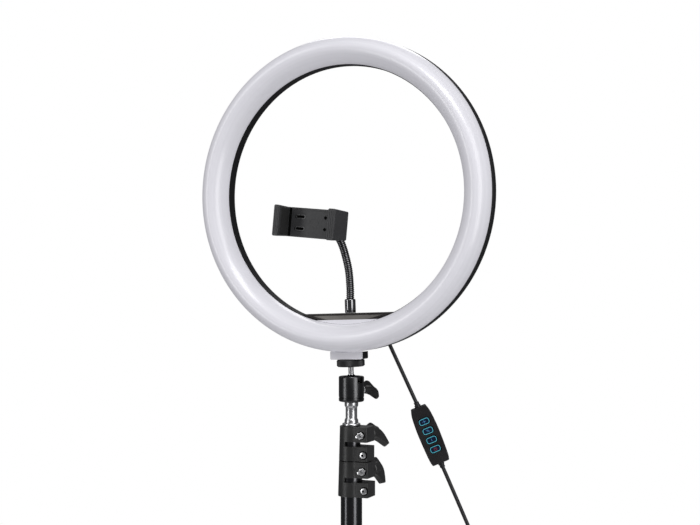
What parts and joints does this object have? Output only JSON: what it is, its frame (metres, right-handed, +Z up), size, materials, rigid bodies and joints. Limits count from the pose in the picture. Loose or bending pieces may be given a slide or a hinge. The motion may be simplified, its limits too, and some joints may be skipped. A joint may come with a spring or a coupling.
{
  "type": "ring light",
  "caption": "Ring-shaped lamp with a phone holder on a bendy neck, on a small ball head over a telescopic stand with folding legs, with a switched power cord.",
  "frame": {"origin": "middle of the stand's footprint on the floor, under the lamp", "axes": "+Z up along the mast, the lamp faces -Y, +X to the right of a person facing the lamp"},
  "size_m": [0.7588, 0.66, 1.1219],
  "materials": {
    "diffuser_white": "satin translucent white diffuser",
    "shell_black": "fine satin black moulding",
    "foot_white": "semi-gloss white moulding",
    "circuit_board": "white solder mask with lamps",
    "brass": "turned brass",
    "bright_steel": "zinc-plated bright steel",
    "chrome": "polished chrome",
    "gloss_black": "gloss black anodised metal",
    "knurled_black": "black anodised, knurled edge",
    "collar_plastic": "textured matt black nylon",
    "painted_steel": "satin black powder coat",
    "rubber": "matt black rubber",
    "neck_black": "black oxide spiral wound steel",
    "holder_black": "fine-grained matt dark moulding",
    "cord_black": "satin black PVC sheath",
    "controller_black": "smooth black moulding",
    "button_blue": "black button face with lit blue-green outline",
    "nylon_seat": "natural nylon"
  },
  "bodies": {
    "stand": {"outer_tube": "painted_steel", "lower_bracket": "collar_plastic", "lower_collar": "collar_plastic", "lower_fixing_bolt": "bright_steel", "lower_pinch_nut": "bright_steel", "cord_lower": "cord_black", "cord_coil": "cord_black", "usb_plug_body": "cord_black", "usb_plug_shell": "bright_steel"},
    "lower_knob": {"lower_knob": "collar_plastic"},
    "leg_hub": {"leg_hub": "collar_plastic"},
    "hub_knob": {"hub_knob": "collar_plastic"},
    "mid_mast": {"mid_tube": "painted_steel", "upper_collar": "collar_plastic", "upper_fixing_bolt": "bright_steel", "upper_pinch_nut": "bright_steel"},
    "upper_knob": {"upper_knob": "collar_plastic"},
    "top_mast": {"top_tube": "painted_steel", "spigot": "chrome", "cord_upper": "cord_black", "controller_front": "controller_black", "controller_rear": "controller_black"},
    "ball_head": {"ball_housing": "gloss_black", "ball_seat": "nylon_seat"},
    "ball_knob": {"ball_knob": "collar_plastic"},
    "lamp_head": {"ball_stud": "bright_steel", "thread_insert": "brass", "foot_front": "foot_white", "foot_rear": "shell_black", "diffuser": "diffuser_white", "back_shell": "shell_black", "led_board": "circuit_board", "cross_bar": "shell_black", "cable_gland": "cord_black", "shell_screw_1": "bright_steel", "shell_screw_2": "bright_steel", "shell_screw_3": "bright_steel", "neck_ferrule": "chrome"},
    "lock_disc": {"lock_disc": "knurled_black"},
    "neck_lower": {"neck_1": "neck_black"},
    "neck_middle": {"neck_2": "neck_black"},
    "neck_upper": {"neck_3": "neck_black"},
    "holder_stud": {"holder_ball": "chrome"},
    "phone_clamp": {"clamp_body": "holder_black", "clamp_spring": "bright_steel"},
    "socket_nut": {"socket_nut": "holder_black"},
    "clamp_jaw": {"sliding_jaw": "holder_black"},
    "strut_1": {"strut_1": "painted_steel"},
    "leg_1": {"leg_1": "painted_steel", "foot_1": "rubber"},
    "strut_2": {"strut_2": "painted_steel"},
    "leg_2": {"leg_2": "painted_steel", "foot_2": "rubber"},
    "strut_3": {"strut_3": "painted_steel"},
    "leg_3": {"leg_3": "painted_steel", "foot_3": "rubber"},
    "button_1": {"button_1": "button_blue"},
    "button_2": {"button_2": "button_blue"},
    "button_3": {"button_3": "button_blue"},
    "button_4": {"button_4": "button_blue"}
  },
  "joints": [
    {"name": "strut_1_fold", "type": "hinge", "parent": "stand", "child": "strut_1", "pos_m": [0, -0.07951, 0.07357], "axis": [1, 0, 0], "range_deg": [0, 49]},
    {"name": "leg_1_fold", "type": "hinge", "parent": "strut_1", "child": "leg_1", "pos_m": [0, 0.07809, 0.1967], "axis": [1, 0, 0], "range_deg": [-98, 0]},
    {"name": "strut_2_fold", "type": "hinge", "parent": "stand", "child": "strut_2", "pos_m": [-0.02338, -0.12001, 0.07357], "axis": [-0.5, 0.866, 0], "range_deg": [0, 49]},
    {"name": "leg_2_fold", "type": "hinge", "parent": "strut_2", "child": "leg_2", "pos_m": [-0.15987, -0.19881, 0.1967], "axis": [-0.5, 0.866, 0], "range_deg": [-98, 0]},
    {"name": "strut_3_fold", "type": "hinge", "parent": "stand", "child": "strut_3", "pos_m": [0.02338, -0.12001, 0.07357], "axis": [-0.5, -0.866, 0], "range_deg": [0, 49]},
    {"name": "leg_3_fold", "type": "hinge", "parent": "strut_3", "child": "leg_3", "pos_m": [0.15987, -0.19881, 0.1967], "axis": [-0.5, -0.866, 0], "range_deg": [-98, 0]},
    {"name": "hub_slide", "type": "slide", "parent": "stand", "child": "leg_hub", "axis": [0, 0, 1], "range_m": [0, 0.15319]},
    {"name": "hub_knob_turn", "type": "hinge", "parent": "leg_hub", "child": "hub_knob", "pos_m": [0.01412, -0.09836, 0.33283], "axis": [0.866, 0.5, 0], "range_deg": [0, 270]},
    {"name": "lower_knob_turn", "type": "hinge", "parent": "stand", "child": "lower_knob", "pos_m": [0.0174, -0.09551, 0.66866], "axis": [0, 1, 0], "range_deg": [0, 270]},
    {"name": "mid_section_slide", "type": "slide", "parent": "stand", "child": "mid_mast", "axis": [0, 0, 1], "range_m": [0, 0.42], "deforming": ["cord_lower"]},
    {"name": "upper_knob_turn", "type": "hinge", "parent": "mid_mast", "child": "upper_knob", "pos_m": [0.0156, -0.09551, 0.70586], "axis": [0, 1, 0], "range_deg": [0, 270]},
    {"name": "top_section_slide", "type": "slide", "parent": "mid_mast", "child": "top_mast", "axis": [0, 0, 1], "range_m": [0, 0.42], "deforming": ["cord_lower"]},
    {"name": "head_pan", "type": "hinge", "parent": "top_mast", "child": "ball_head", "pos_m": [0, -0.10651, 0.76136], "axis": [0, 0, 1], "range_deg": [-90, 90], "deforming": ["cord_upper"]},
    {"name": "ball_knob_turn", "type": "hinge", "parent": "ball_head", "child": "ball_knob", "pos_m": [0.0081, -0.09248, 0.75116], "axis": [0.5, 0.866, 0], "range_deg": [0, 270]},
    {"name": "head_nod", "type": "hinge", "parent": "ball_head", "child": "lamp_head", "pos_m": [0, -0.10651, 0.76136], "axis": [1, 0, 0], "range_deg": [-40, 40], "deforming": ["cord_upper"]},
    {"name": "lock_disc_turn", "type": "hinge", "parent": "lamp_head", "child": "lock_disc", "pos_m": [0, -0.10651, 0.76136], "axis": [-0.0401, 0, 0.9992], "range_deg": [0, 270]},
    {"name": "neck_swivel", "type": "hinge", "parent": "lamp_head", "child": "neck_lower", "pos_m": [-0.00106, -0.10701, 0.846], "axis": [-0.0401, 0, 0.9992], "range_deg": [-60, 60]},
    {"name": "neck_bend_1", "type": "hinge", "parent": "neck_lower", "child": "neck_middle", "pos_m": [-0.00446, -0.10551, 0.8777], "axis": [1, 0, 0], "range_deg": [-20, 20]},
    {"name": "neck_bend_2", "type": "hinge", "parent": "neck_middle", "child": "neck_upper", "pos_m": [-0.01586, -0.10271, 0.9068], "axis": [1, 0, 0], "range_deg": [-20, 20]},
    {"name": "holder_turn", "type": "hinge", "parent": "neck_upper", "child": "holder_stud", "pos_m": [-0.03256, -0.11291, 0.926], "axis": [-0.174, -0.9693, 0.174], "range_deg": [-90, 90]},
    {"name": "holder_tilt", "type": "hinge", "parent": "holder_stud", "child": "phone_clamp", "pos_m": [-0.03256, -0.11291, 0.926], "axis": [0.9965, 0, -0.0837], "range_deg": [-15, 15]},
    {"name": "socket_nut_turn", "type": "hinge", "parent": "phone_clamp", "child": "socket_nut", "pos_m": [-0.03256, -0.11751, 0.926], "axis": [-0.0022, 0.9997, -0.0261], "range_deg": [0, 270]},
    {"name": "jaw_slide", "type": "slide", "parent": "phone_clamp", "child": "clamp_jaw", "axis": [0.9965, 0, -0.0837], "range_m": [0, 0.024], "stiffness_N_per_m": 300, "springref_m": -0.02, "deforming": ["clamp_spring"]},
    {"name": "button_1_press", "type": "slide", "parent": "top_mast", "child": "button_1", "axis": [-0.4278, 0.9036, 0.0206], "range_m": [0, 0.0006], "stiffness_N_per_m": 2000, "springref_m": -0.0002},
    {"name": "button_2_press", "type": "slide", "parent": "top_mast", "child": "button_2", "axis": [-0.4278, 0.9036, 0.0206], "range_m": [0, 0.0006], "stiffness_N_per_m": 2000, "springref_m": -0.0002},
    {"name": "button_3_press", "type": "slide", "parent": "top_mast", "child": "button_3", "axis": [-0.4278, 0.9036, 0.0206], "range_m": [0, 0.0006], "stiffness_N_per_m": 2000, "springref_m": -0.0002},
    {"name": "button_4_press", "type": "slide", "parent": "top_mast", "child": "button_4", "axis": [-0.4278, 0.9036, 0.0206], "range_m": [0, 0.0006], "stiffness_N_per_m": 2000, "springref_m": -0.0002}
  ],
  "couplings": [
    {"joint": "strut_2_fold", "follows": "strut_1_fold", "ratio": 1},
    {"joint": "strut_3_fold", "follows": "strut_1_fold", "ratio": 1},
    {"joint": "leg_1_fold", "follows": "strut_1_fold", "ratio": -2},
    {"joint": "leg_2_fold", "follows": "strut_1_fold", "ratio": -2},
    {"joint": "leg_3_fold", "follows": "strut_1_fold", "ratio": -2},
    {"joint": "hub_slide", "follows": "strut_1_fold", "m_per_rad": 0.17912},
    {"joint": "neck_bend_2", "follows": "neck_bend_1", "ratio": 1}
  ]
}
